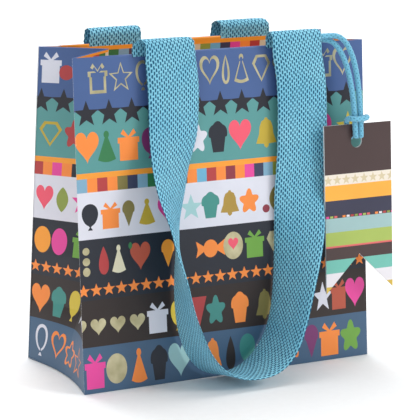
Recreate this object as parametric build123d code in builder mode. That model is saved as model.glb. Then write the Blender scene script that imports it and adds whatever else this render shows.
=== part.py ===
"""Gift bag: folded paper bag with side gussets, two knitted tape handles and a swallow-tailed tag on a string.

Frame: millimetres, +Z up, origin at the centre of the base, which stands on z = 0.
The front wall faces -Y and the width runs along X. Each wall leans in from its base fold towards the mouth,
so wall pieces are drawn in that wall's own frame: x along the wall, y up it, z outward, away from the bag.
"""

from build123d import *
from math import asin, cos, radians, sin, sqrt, tan
import os

# Bag
WIDTH = 140.0
PANEL_HEIGHT = 142.0
DEPTH = 60.0
MOUTH_DEPTH = 35.2
PAPER = 0.3
FOLD_GAP = 0.6
LEAN = asin((DEPTH - MOUTH_DEPTH) / 2 / PANEL_HEIGHT)
PANEL_FOOT = 0.1

# Top hem: a channel of paper that holds the board and the handles' ends
HEM_DEPTH = 35.0
HEM_WIDTH = 120.0
CHANNEL = 0.8
BOARD_THICKNESS = 0.7
BOARD_WIDTH = 117.0
BOARD_DEPTH = 32.0

# Base
FLAP_REACH = 48.0
SIDE_FLAP_REACH = 30.0
FLAP_TAPER = 12.0
UPSTAND = 4.4
BASE_BOARD = (130.0, 56.4, 1.2)
BASE_CLEARANCE = 0.05

# Side seam
SEAM_EDGE = 2.0
SEAM_WIDTH = 11.0

# Gussets
CREASE_GAP = 0.5
HINGE_INSET = 0.75
GUSSET_FOOT = 4.8
FOOT_PEAK = 27.5
GUSSET_TOP = 139.6

# Handles
TAPE_WIDTH = 24.5
TAPE_THICKNESS = 1.2
PRESSED_TAPE = 0.7
LEG_CENTRES = (-30.0, 34.0)
GLUED_LENGTH = 30.0
BEND_RADIUS = 2.95
BEND_OUT = 2.25
BEND_UP = 144.85
SLOT_WIDTH = 25.2
JOINT_CLEARANCE = 0.12

# Tag
TAG_OUT = 8.6
TAG_CARD = 0.8
TAG_LEFT = 44.0
TAG_RIGHT = 78.3
TAG_TOP = 106.0
TAG_BOTTOM = 31.8
NOTCH_DEPTH = 16.6
HOLE_CENTRE = (60.4, 98.4)
HOLE_RADIUS = 2.85
CORD_DIAMETER = 2.4
ARC_SHARE = 0.45
KNOT_LENGTH = 9.2
KNOT_CENTRE = (60.4, 108.4, 13.4)

# The hanging tape: its left and right edges at each station, as (along, up, out) on the wall.
# It starts under the left bend, turns edge-on as it falls, rounds the bottom as a belt that stands off the wall,
# and turns flat again up the right leg.
LOOP_EDGES = [
    ((-42.2, 144.7, 5.2), (-17.7, 144.7, 5.2)),
    ((-39.9, 126.0, 4.6), (-15.4, 126.0, 4.6)),
    ((-39.2, 106.0, 5.4), (-14.9, 106.0, 3.4)),
    ((-40.2, 92.0, 11.6), (-18.6, 92.0, 1.6)),
    ((-39.6, 82.0, 16.0), (-20.0, 81.5, 1.4)),
    ((-37.0, 70.5, 21.6), (-23.6, 70.0, 1.4)),
    ((-35.4, 60.0, 23.2), (-24.6, 59.0, 1.4)),
    ((-31.6, 47.0, 24.8), (-26.2, 46.0, 1.4)),
    ((-29.4, 35.0, 25.6), (-26.4, 34.0, 1.4)),
    ((-25.4, 24.0, 25.8), (-25.4, 22.4, 1.4)),
    ((-21.8, 16.6, 25.8), (-22.0, 13.4, 1.4)),
    ((-15.6, 9.4, 25.6), (-16.0, 6.2, 1.4)),
    ((-7.6, 4.6, 25.6), (-8.0, 2.8, 1.4)),
    ((0.8, 2.8, 25.6), (-1.2, 2.6, 1.4)),
    ((8.4, 3.4, 25.4), (5.4, 5.0, 1.4)),
    ((15.0, 6.8, 25.2), (11.4, 10.2, 1.4)),
    ((20.4, 13.6, 25.2), (16.4, 17.6, 1.4)),
    ((24.4, 24.0, 25.0), (19.4, 27.4, 1.4)),
    ((28.4, 36.0, 24.0), (20.8, 38.4, 1.4)),
    ((34.0, 50.0, 21.4), (21.6, 51.2, 1.6)),
    ((40.8, 62.8, 14.8), (22.2, 63.6, 2.0)),
    ((45.6, 76.6, 5.4), (22.6, 77.0, 2.6)),
    ((48.4, 94.0, 4.8), (24.0, 94.6, 3.6)),
    ((49.0, 112.0, 4.6), (24.5, 112.4, 4.2)),
    ((48.8, 128.0, 4.8), (24.3, 128.0, 4.6)),
    ((46.2, 144.7, 5.2), (21.7, 144.7, 5.2)),
]

# The tag's string, folded double: the two strands' corners, as (along, up, out) on the front wall
INNER_STRAND = [
    (36.5, 143.2, 1.0),
    (48.4, 143.4, 1.2),
    (52.6, 142.2, 4.8),
    (56.2, 135.4, 7.0),
    (58.0, 125.8, 9.2),
    (58.9, 112.0, 10.7),
    (59.1, 99.6, 11.0),
]
OUTER_STRAND = [
    (36.5, 144.3, 3.2),
    (49.0, 144.9, 3.5),
    (55.2, 144.6, 7.2),
    (59.6, 136.9, 8.4),
    (61.4, 126.4, 9.6),
    (61.9, 112.4, 10.7),
    (61.8, 99.6, 11.0),
]


def wall_frame(side):
    """Frame of the front wall (side -1) or the rear wall (side 1): x along it, y up it, z outward."""
    return Plane(
        origin=(0, side * DEPTH / 2, 0),
        x_dir=(-side, 0, 0),
        z_dir=(0, side * cos(LEAN), sin(LEAN)),
    )


WALLS = {"front": wall_frame(-1), "rear": wall_frame(1)}
BOTTOM_LEFT = (Align.CENTER, Align.MIN)


def make_panel(frame):
    """A wall of the bag with its hem folded in at the top, slotted for the two handle ends."""
    with BuildPart() as panel:
        with BuildSketch(frame):
            with Locations((0, PANEL_FOOT)):
                Rectangle(WIDTH, PANEL_HEIGHT - PANEL_FOOT, align=BOTTOM_LEFT)
        extrude(amount=-PAPER)
        with BuildSketch(frame.offset(-PAPER - CHANNEL)):
            with Locations((0, PANEL_HEIGHT - HEM_DEPTH)):
                Rectangle(HEM_WIDTH, HEM_DEPTH, align=BOTTOM_LEFT)
        extrude(amount=-PAPER)
        with BuildSketch(frame.offset(-PAPER)):
            with Locations((0, PANEL_HEIGHT - PAPER)):
                Rectangle(HEM_WIDTH, PAPER, align=BOTTOM_LEFT)
        extrude(amount=-CHANNEL)
        with BuildSketch(frame.offset(-PAPER)):
            with Locations(*[(x, PANEL_HEIGHT - PAPER) for x in LEG_CENTRES]):
                Rectangle(SLOT_WIDTH, PAPER, align=BOTTOM_LEFT)
        extrude(amount=-CHANNEL, mode=Mode.SUBTRACT)
    return panel.part


def make_hem_board(frame):
    """Card strip inside the hem, notched where the handle ends are glued."""
    top = PANEL_HEIGHT - 2 * PAPER
    with BuildPart() as board:
        with BuildSketch(frame.offset(-PAPER)):
            with Locations((0, top - BOARD_DEPTH)):
                Rectangle(BOARD_WIDTH, BOARD_DEPTH, align=BOTTOM_LEFT)
            with Locations(*[(x, PANEL_HEIGHT - GLUED_LENGTH - PAPER) for x in LEG_CENTRES]):
                Rectangle(SLOT_WIDTH, BOARD_DEPTH, align=BOTTOM_LEFT, mode=Mode.SUBTRACT)
        extrude(amount=-BOARD_THICKNESS)
    return board.part


def make_handle_ends(frame):
    """The two pressed ends of a tape, glued in the hem and standing up out of its slots."""
    with BuildPart() as ends:
        with BuildSketch(frame.offset(-PAPER)):
            with Locations(*[(x, PANEL_HEIGHT - GLUED_LENGTH) for x in LEG_CENTRES]):
                length = BEND_UP - JOINT_CLEARANCE - PANEL_HEIGHT + GLUED_LENGTH
                Rectangle(TAPE_WIDTH, length, align=BOTTOM_LEFT)
        extrude(amount=-PRESSED_TAPE)
    return ends.part


def make_handle_bends(frame):
    """The two half-round bends that carry the tape over the top edge."""
    with BuildPart() as bends:
        for centre in LEG_CENTRES:
            origin = frame.from_local_coords(Vector(centre - TAPE_WIDTH / 2, BEND_UP, BEND_OUT))
            with BuildSketch(Plane(origin=origin, x_dir=frame.z_dir, z_dir=frame.x_dir)):
                Circle(BEND_RADIUS + PRESSED_TAPE / 2)
                Circle(BEND_RADIUS - PRESSED_TAPE / 2, mode=Mode.SUBTRACT)
            extrude(amount=TAPE_WIDTH)
        middle = frame.from_local_coords(Vector(0, BEND_UP, 0))
        split(bisect_by=Plane(origin=middle, x_dir=frame.x_dir, z_dir=frame.y_dir), keep=Keep.TOP)
    return bends.part


def make_handle_loop(frame):
    """The hanging loop of tape, lofted through its stations."""
    edges = [tuple(frame.from_local_coords(Vector(*point)) for point in pair) for pair in LOOP_EDGES]
    centres = [(left + right) * 0.5 for left, right in edges]
    with BuildPart() as loop:
        for index, (left, right) in enumerate(edges):
            before = centres[max(index - 1, 0)]
            after = centres[min(index + 1, len(centres) - 1)]
            across = right - left
            face_normal = across.cross(after - before)
            run = face_normal.cross(across)
            with BuildSketch(Plane(origin=centres[index], x_dir=across, z_dir=run)):
                Rectangle(across.length, TAPE_THICKNESS)
        loft(ruled=True)
    return loop.part


def half_depth(height):
    """Distance from the middle of the bag to a wall's outer face."""
    return DEPTH / 2 - height * tan(LEAN)


def crease_inset(height):
    """How far the gusset's centre crease is folded in: straight up to the foot's peak, then at full paper width."""
    peak = sqrt((DEPTH / 2) ** 2 - half_depth(FOOT_PEAK) ** 2)
    if height < FOOT_PEAK:
        return peak * height / FOOT_PEAK
    return sqrt((DEPTH / 2) ** 2 - half_depth(height) ** 2)


def make_gusset_half(side, wall):
    """Half a gusset, from a wall's side edge in to the centre crease. side is -1 left or 1 right."""
    with BuildPart() as half:
        for height in (GUSSET_FOOT, FOOT_PEAK, PANEL_HEIGHT / 2, GUSSET_TOP):
            edge = Vector(side * WIDTH / 2, wall * (half_depth(height) - HINGE_INSET))
            crease = Vector(side * (WIDTH / 2 - crease_inset(height)), wall * CREASE_GAP)
            along = (crease - edge).normalized()
            inward = Vector(-side * abs(along.Y), wall * abs(along.X)) * PAPER
            with BuildSketch(Plane.XY.offset(height)):
                with BuildLine():
                    Polyline(edge, crease, crease + inward, edge + inward, close=True)
                make_face()
        loft(ruled=True)
    return half.part


def make_long_flap(wall, level):
    """Bottom flap folded in from a wall, tapered to its free end."""
    fold = wall * (DEPTH / 2 - FOLD_GAP)
    end = fold - wall * FLAP_REACH
    half = WIDTH / 2 - FOLD_GAP
    with BuildPart() as flap:
        with BuildSketch(Plane.XY.offset(level)):
            with BuildLine():
                Polyline((-half, fold), (half, fold), (half - FLAP_TAPER, end), (-half + FLAP_TAPER, end), close=True)
            make_face()
        extrude(amount=PAPER)
    return flap.part


def make_side_flap(side, level):
    """Bottom flap folded in from a gusset, with the gusset's lowest strip standing up from it."""
    fold = side * (WIDTH / 2 - PAPER)
    end = fold - side * SIDE_FLAP_REACH
    half = DEPTH / 2 - 2 * FOLD_GAP
    with BuildPart() as flap:
        with BuildSketch(Plane.XY.offset(level)):
            with BuildLine():
                Polyline((fold, -half), (fold, half), (end, half - FLAP_TAPER), (end, -half + FLAP_TAPER), close=True)
            make_face()
        extrude(amount=PAPER)
        with BuildSketch(Plane.XY):
            with Locations((fold + side * PAPER / 2, 0)):
                Rectangle(PAPER, 2 * half)
        extrude(amount=UPSTAND)
    return flap.part


def make_strand(corners, frame):
    """One strand of the string: straight runs joined by tangent arcs, each with its share of the shorter run."""
    points = [frame.from_local_coords(Vector(*corner)) for corner in corners]
    radii = []
    for before, corner, after in zip(points, points[1:], points[2:]):
        shorter = min((corner - before).length, (after - corner).length)
        turn = radians((corner - before).get_angle(after - corner))
        radii.append(ARC_SHARE * shorter / tan(turn / 2))
    print("strand arc radii", [round(radius, 1) for radius in radii])
    with BuildPart() as strand:
        with BuildLine() as route:
            FilletPolyline(*points, radius=radii)
        with BuildSketch(Plane(origin=route.line @ 0, z_dir=route.line % 0)):
            Circle(CORD_DIAMETER / 2)
        sweep()
    length = sum(edge.length for edge in route.line.edges())
    print("strand length", round(length, 1), "volume over section", round(strand.part.volume / length, 3))
    return strand.part


def make_tag_card(frame):
    """Swallow-tailed card with a punched hole near its top."""
    middle = (TAG_LEFT + TAG_RIGHT) / 2
    with BuildPart() as card:
        with BuildSketch(frame.offset(TAG_OUT)):
            with BuildLine():
                Polyline(
                    (TAG_LEFT, TAG_BOTTOM),
                    (middle, TAG_BOTTOM + NOTCH_DEPTH),
                    (TAG_RIGHT, TAG_BOTTOM),
                    (TAG_RIGHT, TAG_TOP),
                    (TAG_LEFT, TAG_TOP),
                    close=True,
                )
            make_face()
            with Locations(HOLE_CENTRE):
                Circle(HOLE_RADIUS, mode=Mode.SUBTRACT)
        extrude(amount=TAG_CARD)
    return card.part


def make_knot(frame):
    """The knot's band, which crosses in front of the two strands above the hole."""
    along, up, out = KNOT_CENTRE
    end = frame.from_local_coords(Vector(along - KNOT_LENGTH / 2, up, out))
    with BuildPart() as knot:
        with BuildSketch(Plane(origin=end, z_dir=frame.x_dir)):
            Circle(CORD_DIAMETER / 2)
        extrude(amount=KNOT_LENGTH)
    return knot.part


def make_seam_flap(frame):
    """The blank's glue flap, stuck inside the rear wall along its side edge."""
    with BuildPart() as flap:
        with BuildSketch(frame.offset(-PAPER)):
            with Locations((WIDTH / 2 - SEAM_EDGE - SEAM_WIDTH / 2, SEAM_EDGE)):
                Rectangle(SEAM_WIDTH, PANEL_HEIGHT - HEM_DEPTH - 2 * SEAM_EDGE, align=BOTTOM_LEFT)
        extrude(amount=-PAPER)
    return flap.part


def make_base_board():
    """Loose board that lies on the folded bottom flaps."""
    length, depth, thickness = BASE_BOARD
    with BuildPart() as board:
        with BuildSketch(Plane.XY.offset(3 * PAPER + BASE_CLEARANCE)):
            Rectangle(length, depth)
        extrude(amount=thickness)
    return board.part


parts = {}

for name, frame in WALLS.items():
    parts[f"{name}_panel"] = make_panel(frame)
    parts[f"{name}_hem_board"] = make_hem_board(frame)
    parts[f"{name}_handle_ends"] = make_handle_ends(frame)
    parts[f"{name}_handle_bends"] = make_handle_bends(frame)
    parts[f"{name}_handle_loop"] = make_handle_loop(frame)

for side_name, side in (("left", -1), ("right", 1)):
    for wall_name, wall in (("front", -1), ("rear", 1)):
        parts[f"{side_name}_gusset_{wall_name}"] = make_gusset_half(side, wall)

parts["front_base_flap"] = make_long_flap(-1, 0)
parts["rear_base_flap"] = make_long_flap(1, PAPER)
parts["left_base_flap"] = make_side_flap(-1, 2 * PAPER)
parts["right_base_flap"] = make_side_flap(1, 2 * PAPER)
parts["base_board"] = make_base_board()
parts["side_seam_flap"] = make_seam_flap(WALLS["rear"])
parts["tag_card"] = make_tag_card(WALLS["front"])
parts["tag_string_inner"] = make_strand(INNER_STRAND, WALLS["front"])
parts["tag_string_outer"] = make_strand(OUTER_STRAND, WALLS["front"])
parts["tag_string_knot"] = make_knot(WALLS["front"])

os.makedirs("parts", exist_ok=True)
for name, part in parts.items():
    part.label = name
    export_step(part, f"parts/{name}.step")
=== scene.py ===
# %% [markdown]
# A paper gift bag: four printed walls folded from one sheet, two handles of flat knitted tape, and a card
# tag that hangs from a doubled cord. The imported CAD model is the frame: it says where everything is and
# what moves. This script gives each of its bodies a skin with the look of the real material.

# %% Load the frame
import math

import bpy
import numpy as np
from mathutils import Matrix, Vector
from mathutils.geometry import delaunay_2d_cdt


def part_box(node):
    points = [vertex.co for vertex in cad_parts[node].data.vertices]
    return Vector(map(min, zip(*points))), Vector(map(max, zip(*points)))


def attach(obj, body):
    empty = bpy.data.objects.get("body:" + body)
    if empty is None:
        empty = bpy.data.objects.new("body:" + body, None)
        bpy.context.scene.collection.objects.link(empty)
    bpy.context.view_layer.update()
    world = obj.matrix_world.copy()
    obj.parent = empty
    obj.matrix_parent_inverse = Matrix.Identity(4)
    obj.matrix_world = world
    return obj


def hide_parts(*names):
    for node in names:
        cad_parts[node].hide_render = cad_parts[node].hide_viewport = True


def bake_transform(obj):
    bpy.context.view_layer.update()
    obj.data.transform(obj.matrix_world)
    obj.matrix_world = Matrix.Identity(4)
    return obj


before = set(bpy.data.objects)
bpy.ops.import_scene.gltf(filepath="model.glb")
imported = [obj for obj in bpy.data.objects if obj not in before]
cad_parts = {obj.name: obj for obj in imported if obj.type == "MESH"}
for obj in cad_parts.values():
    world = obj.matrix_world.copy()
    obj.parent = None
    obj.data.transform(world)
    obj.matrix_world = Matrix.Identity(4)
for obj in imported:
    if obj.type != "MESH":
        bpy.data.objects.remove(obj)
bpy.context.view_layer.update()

# %% [markdown]
# The bag is easiest to draw on its own walls: how far along a wall, how far up it and how far out from it,
# all in millimetres. The walls lean in because the mouth is narrower than the base, so one function turns
# wall distances into room coordinates. The rear wall is the front wall turned half round.

# %% The walls
MM = 0.001
WIDTH = 140.0
DEPTH = 60.0
MOUTH_DEPTH = 35.2
WALL_HEIGHT = 142.0
LEAN = math.asin((DEPTH - MOUTH_DEPTH) / 2 / WALL_HEIGHT)
PAPER = 0.25


def on_wall(wall, along, up, out):
    """Room position in metres of points on a wall. The wall's foot is half a depth forward, and it leans by
    LEAN: going up moves in by the sine and up by the cosine, going out moves forward by the cosine and up
    by the sine."""
    forward = -DEPTH / 2 + up * math.sin(LEAN) - out * math.cos(LEAN)
    height = up * math.cos(LEAN) + out * math.sin(LEAN)
    turned = 1.0 if wall == "front" else -1.0
    return np.stack(np.broadcast_arrays(along * turned, forward * turned, height), axis=-1) * MM


print("each wall leans in by", round(math.degrees(LEAN), 2), "degrees")

# %% [markdown]
# The camera stands where a small product is usually taken from: a little to the left, a little above, and
# far back with a long lens, so that upright edges stay nearly parallel. Its place is an angle round the
# bag, an angle above the floor and a distance from the middle of the bag.

# %% The camera
TARGET = Vector((4.63, 0.0, 66.67)) * MM
CAMERA_AZIMUTH = math.radians(-28.135)
CAMERA_ELEVATION = math.radians(12.86)
CAMERA_ROLL = math.radians(0.827)
CAMERA_DISTANCE = 0.9473
FIELD_OF_VIEW = math.radians(11.186)

back = Vector((
    math.sin(CAMERA_AZIMUTH) * math.cos(CAMERA_ELEVATION),
    -math.cos(CAMERA_AZIMUTH) * math.cos(CAMERA_ELEVATION),
    math.sin(CAMERA_ELEVATION),
))
camera_data = bpy.data.cameras.new("camera")
camera_data.angle = FIELD_OF_VIEW
camera = bpy.data.objects.new("camera", camera_data)
bpy.context.collection.objects.link(camera)
looking = back.to_track_quat("Z", "Y").to_matrix()
camera.rotation_euler = (looking @ Matrix.Rotation(CAMERA_ROLL, 3, "Z")).to_euler()
camera.location = TARGET + back * CAMERA_DISTANCE
bpy.context.scene.camera = camera
print("lens", round(camera_data.lens, 1), "mm, standing at", [round(v, 3) for v in camera.location])

# %% [markdown]
# Materials are small networks of nodes. One helper adds a node, sets its own settings, and either links or
# sets each input. Colours are written as the sRGB hex values that a printer's swatch book gives, and turned
# to the linear values that light is worked out in.

# %% Helpers for materials


def linear(hex_colour):
    """Linear RGBA of an sRGB hex colour: below 0.04045 divide by 12.92, above it raise (c + 0.055) / 1.055
    to 2.4."""
    srgb = np.array([int(hex_colour[i:i + 2], 16) / 255 for i in (1, 3, 5)])
    values = np.where(srgb <= 0.04045, srgb / 12.92, ((srgb + 0.055) / 1.055) ** 2.4)
    return (*values.tolist(), 1.0)


def add(tree, kind, inputs, **settings):
    """One shader node. settings are its own properties; inputs maps a socket's name or number to a link or
    a value."""
    made = tree.nodes.new("ShaderNode" + kind)
    for name, value in settings.items():
        setattr(made, name, value)
    for name, value in inputs.items():
        if isinstance(value, bpy.types.NodeSocket):
            tree.links.new(value, made.inputs[name])
        else:
            made.inputs[name].default_value = value
    return made


def new_material(name):
    """An empty node material and its tree, to be closed by close_material."""
    material = bpy.data.materials.new(name)
    material.use_nodes = True
    material.node_tree.nodes.clear()
    return material, material.node_tree


def close_material(tree, surface):
    """Joins the finished surface shader to the material's output."""
    add(tree, "OutputMaterial", {"Surface": surface.outputs[0]})


def maths(tree, operation, first, second=0.0):
    """One sum, product or comparison of two values."""
    return add(tree, "Math", {0: first, 1: second}, operation=operation).outputs[0]


def mix_colour(tree, amount, first, second, blend="MIX"):
    """A colour mix: at amount 0 the first colour, at 1 the second."""
    mixer = add(tree, "Mix", {}, data_type="RGBA", blend_type=blend)
    for socket, value in ((mixer.inputs[0], amount), (mixer.inputs[6], first), (mixer.inputs[7], second)):
        if isinstance(value, bpy.types.NodeSocket):
            tree.links.new(value, socket)
        else:
            socket.default_value = value
    return mixer.outputs[2]


# %% [markdown]
# The walls are art paper: litho-printed, sealed with a thin satin varnish, and heavy enough to stand. The
# varnish gives a soft sheen over flat ink, and where the sheet is folded the ink cracks and the white core
# shows in specks. The ink colour is stored on the faces themselves, so one material serves the whole print.
# The blank's own coordinates (the UV map, one unit for 400 mm) tell it where the folds are.

# %% Printed art paper
BLANK_UNIT = 400.0
PAPER_WHITE = "#efeeee"
FOLD_LINES = (-130.0, -70.0, 70.0)
WEAR_REACH = 0.4


def near_fold(tree):
    """1 on the upright folds of the blank, falling to 0 a short reach away: the distance across the blank
    to the nearest fold line, worked out from the blank's own coordinates."""
    flat = add(tree, "SeparateXYZ", {"Vector": add(tree, "UVMap", {}, uv_map="blank").outputs[0]})
    along = add(tree, "Math", {0: flat.outputs[0], 1: BLANK_UNIT, 2: -BLANK_UNIT / 2},
                operation="MULTIPLY_ADD")
    nearest = BLANK_UNIT
    for fold in FOLD_LINES:
        away = maths(tree, "ABSOLUTE", maths(tree, "SUBTRACT", along.outputs[0], fold))
        nearest = maths(tree, "MINIMUM", away, nearest)
    return add(tree, "MapRange", {"Value": nearest, "From Max": WEAR_REACH, "To Min": 1.0,
                                  "To Max": 0.0}).outputs[0]


def satin_art_paper():
    """Varnished litho print: ink from the faces, faint mottle, cracked ink on the folds, satin gloss."""
    material, tree = new_material("satin_varnished_art_paper")
    ink = add(tree, "Attribute", {}, attribute_name="ink")
    place = add(tree, "TexCoord", {}).outputs["Object"]
    # cloudiness of the ink film, about 12 mm across
    cloud = add(tree, "TexNoise", {"Vector": place, "Scale": 80.0, "Detail": 3.0})
    shade = add(tree, "MapRange", {"Value": cloud.outputs[0], "To Min": 0.93, "To Max": 1.07})
    tint = mix_colour(tree, 1.0, ink.outputs["Color"], shade.outputs[0], "MULTIPLY")
    # cracked ink: specks of 0.25 mm within half a millimetre of a fold
    specks = add(tree, "TexNoise", {"Vector": place, "Scale": 2600.0, "Detail": 4.0, "Roughness": 0.7})
    worn = maths(tree, "MULTIPLY", specks.outputs[0], near_fold(tree))
    bare = add(tree, "MapRange", {"Value": worn, "From Min": 0.42, "From Max": 0.6, "To Max": 0.45})
    colour = mix_colour(tree, bare.outputs[0], tint, linear(PAPER_WHITE))
    # orange-peel of the varnish, about 0.5 mm, over slow waves of the sheet, about 9 mm
    peel = add(tree, "TexNoise", {"Vector": place, "Scale": 1800.0, "Detail": 2.0})
    waves = add(tree, "TexNoise", {"Vector": place, "Scale": 110.0, "Detail": 1.0})
    fine = add(tree, "Bump", {"Height": peel.outputs[0], "Distance": 0.00002, "Strength": 0.35})
    bump = add(tree, "Bump", {"Height": waves.outputs[0], "Distance": 0.0004, "Strength": 0.3,
                              "Normal": fine.outputs[0]})
    rough = add(tree, "MapRange", {"Value": cloud.outputs[0], "To Min": 0.36, "To Max": 0.48})
    surface = add(tree, "BsdfPrincipled", {"Base Color": colour, "Roughness": rough.outputs[0], "IOR": 1.5,
                                           "Normal": bump.outputs[0]})
    close_material(tree, surface)
    return material


def uncoated_board(name, colour, fleck_colour, roughness):
    """Uncoated board pressed from pulp: matt, with fibre flecks about 0.4 mm long and a felt-marked
    surface."""
    material, tree = new_material(name)
    place = add(tree, "TexCoord", {}).outputs["Object"]
    fibre = add(tree, "TexNoise", {"Vector": place, "Scale": 1500.0, "Detail": 5.0, "Roughness": 0.75,
                                   "Distortion": 0.6})
    fleck = add(tree, "MapRange", {"Value": fibre.outputs[0], "From Min": 0.52, "From Max": 0.74})
    tone = mix_colour(tree, fleck.outputs[0], linear(colour), linear(fleck_colour))
    bump = add(tree, "Bump", {"Height": fibre.outputs[0], "Distance": 0.00005, "Strength": 0.5})
    surface = add(tree, "BsdfPrincipled", {"Base Color": tone, "Roughness": roughness, "IOR": 1.5,
                                           "Normal": bump.outputs[0]})
    close_material(tree, surface)
    return material


def hot_stamped_foil():
    """Pale gold foil stamped on the print: aluminised film, metallic, broken up by the paper under it. Its
    colour drifts between pale gold and dark olive in patches about 6 mm across, a painted reflection of
    dark surroundings.
    """
    material, tree = new_material("hot_stamped_gold_foil")
    place = add(tree, "TexCoord", {}).outputs["Object"]
    grain = add(tree, "TexNoise", {"Vector": place, "Scale": 2200.0, "Detail": 3.0})
    # painted reflection: patches of the foil's colour go dark olive, standing in for the dark things it
    # reflects
    painted_reflection_patch = add(tree, "TexNoise", {"Vector": place, "Scale": 160.0, "Detail": 2.0})
    tone = mix_colour(tree, painted_reflection_patch.outputs[0], linear("#e4dcb8"), linear("#8d8459"))
    rough = add(tree, "MapRange", {"Value": grain.outputs[0], "To Min": 0.28, "To Max": 0.5})
    bump = add(tree, "Bump", {"Height": grain.outputs[0], "Distance": 0.00003, "Strength": 0.4})
    surface = add(tree, "BsdfPrincipled", {"Base Color": tone, "Metallic": 0.85,
                                           "Roughness": rough.outputs[0],
                                           "Normal": bump.outputs[0]})
    close_material(tree, surface)
    return material


art_paper = satin_art_paper()
white_board = uncoated_board("white_lined_board", "#f1f0ee", "#dddbd6", 0.75)
grey_board = uncoated_board("recycled_grey_board", "#b4afa6", "#8c877e", 0.85)
gold_foil = hot_stamped_foil()
print("paper materials:", art_paper.name, white_board.name, grey_board.name, gold_foil.name)

# %% [markdown]
# The print is bands of flat colour with rows of party shapes. Each shape is a closed outline in a box one
# unit wide and high. Round ones are formulas of an angle; the others are a few corner points, as cut from
# coloured paper.

# %% Outlines of the party shapes


def ring(steps):
    """Evenly spaced angles once round, starting at the top."""
    return math.pi / 2 + np.arange(steps) * 2 * math.pi / steps


def disc():
    """Every point half a unit from the middle."""
    turn = ring(28)
    return 0.5 * np.column_stack([np.cos(turn), np.sin(turn)])


def star(points=5, waist=0.42):
    """Points that step between half a unit and a share of it."""
    turn = ring(2 * points)
    reach = np.where(np.arange(2 * points) % 2 == 0, 0.53, 0.53 * waist)
    return np.column_stack([reach * np.cos(turn), reach * np.sin(turn) - 0.03])


def heart():
    """The sine cubed across, and a sum of four cosines up, which is the usual heart."""
    turn = np.arange(36) * 2 * math.pi / 36
    up = 13 * np.cos(turn) - 5 * np.cos(2 * turn) - 2 * np.cos(3 * turn) - np.cos(4 * turn)
    return np.column_stack([0.5 * np.sin(turn) ** 3, up / 29 + 0.09])


def flower(petals=5):
    """A circle whose radius swells once for each petal."""
    turn = ring(petals * 10)
    reach = 0.4 + 0.1 * np.cos(petals * (turn - math.pi / 2))
    return np.column_stack([reach * np.cos(turn), reach * np.sin(turn)])


def leaf():
    """Two arcs that meet in a point: across is the sine squared of the way up, once each side."""
    way = np.linspace(0, 1, 14)
    side = 0.36 * np.sin(math.pi * way) ** 0.8
    return np.column_stack([np.r_[side, -side[-2:0:-1]], np.r_[way, way[-2:0:-1]] - 0.5])


def drop():
    """A ball with a drawn-out top: across is sine times the sine of the half angle."""
    turn = np.arange(30) * 2 * math.pi / 30
    return np.column_stack([0.5 * np.sin(turn) * np.sin(turn / 2), 0.5 * np.cos(turn)])


def balloon():
    """An egg with its tied neck below."""
    turn = np.linspace(-0.42 * math.pi, 1.42 * math.pi, 28)
    swell = 0.38 * (1 + 0.12 * np.sin(turn))
    egg = np.column_stack([swell * np.cos(turn) * 1.1, 0.42 * np.sin(turn) + 0.08])
    return np.vstack([egg, [(-0.03, -0.38), (-0.13, -0.5), (0.13, -0.5), (0.03, -0.38)]])


def gift():
    """A box with an overhanging lid and a two-eared bow."""
    half = [(0.42, -0.5), (0.42, 0.06), (0.5, 0.06), (0.5, 0.24), (0.1, 0.24), (0.36, 0.36), (0.24, 0.5),
            (0.0, 0.27)]
    return np.array(half + [(-x, y) for x, y in half[-2::-1]])


def party_hat():
    """A cone with a curved brim and a pompom."""
    turn = np.linspace(-0.3 * math.pi, 1.3 * math.pi, 12)
    pompom = np.column_stack([0.12 * np.cos(turn), 0.38 + 0.12 * np.sin(turn)])
    brim = np.linspace(-0.4, 0.4, 8)
    return np.vstack([pompom, np.column_stack([brim, -0.42 - 0.08 * np.cos(brim * math.pi / 0.8)])])


def cupcake():
    """A tapered case under a scalloped dome."""
    turn = np.linspace(0, math.pi, 26)
    reach = 0.44 + 0.05 * np.abs(np.sin(3 * turn))
    dome = np.column_stack([reach * np.cos(turn), reach * np.sin(turn) * 1.05])
    return np.vstack([dome, [(-0.36, -0.02), (-0.26, -0.5), (0.26, -0.5), (0.36, -0.02)]])


def gem():
    """A cut stone seen from the side."""
    return np.array([(-0.28, 0.42), (0.28, 0.42), (0.5, 0.14), (0.0, -0.5), (-0.5, 0.14)])


def ice_cream():
    """A round scoop on a pointed cone."""
    turn = np.linspace(-0.12 * math.pi, 1.12 * math.pi, 18)
    scoop = np.column_stack([0.36 * np.cos(turn), 0.18 + 0.32 * np.sin(turn)])
    return np.vstack([scoop, [(-0.28, 0.04), (0.0, -0.5), (0.28, 0.04)]])


def bell():
    """A dome that flares to a wide lip, with a clapper."""
    half = [(0.0, -0.5), (0.1, -0.44), (0.12, -0.36), (0.48, -0.34), (0.42, -0.2), (0.34, -0.04),
            (0.31, 0.2),
            (0.22, 0.38), (0.08, 0.44), (0.05, 0.5)]
    return np.array(half + [(-x, y) for x, y in half[:0:-1]])


def sweet():
    """A round sweet in a wrapper twisted at both ends."""
    turn = np.linspace(-0.4 * math.pi, 0.4 * math.pi, 9)
    top = np.column_stack([0.25 * np.sin(turn), 0.25 * np.cos(turn) * 1.3])
    wing = [(0.5, 0.3), (0.44, 0.0), (0.5, -0.3)]
    return np.vstack([top, wing, -top, [(-x, -y) for x, y in wing]])


def pennant():
    """A hanging three-cornered flag."""
    return np.array([(-0.46, 0.5), (0.46, 0.5), (0.0, -0.5)])


def box():
    """A plain rectangle."""
    return np.array([(-0.5, -0.5), (0.5, -0.5), (0.5, 0.5), (-0.5, 0.5)])


def place_shape(outline, centre, size):
    """Scales a unit outline to its size and moves it to its centre, both in mm on the flat print."""
    return outline * np.array(size) + np.array(centre)


print("a heart has", len(heart()), "points, a star", len(star()))

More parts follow.
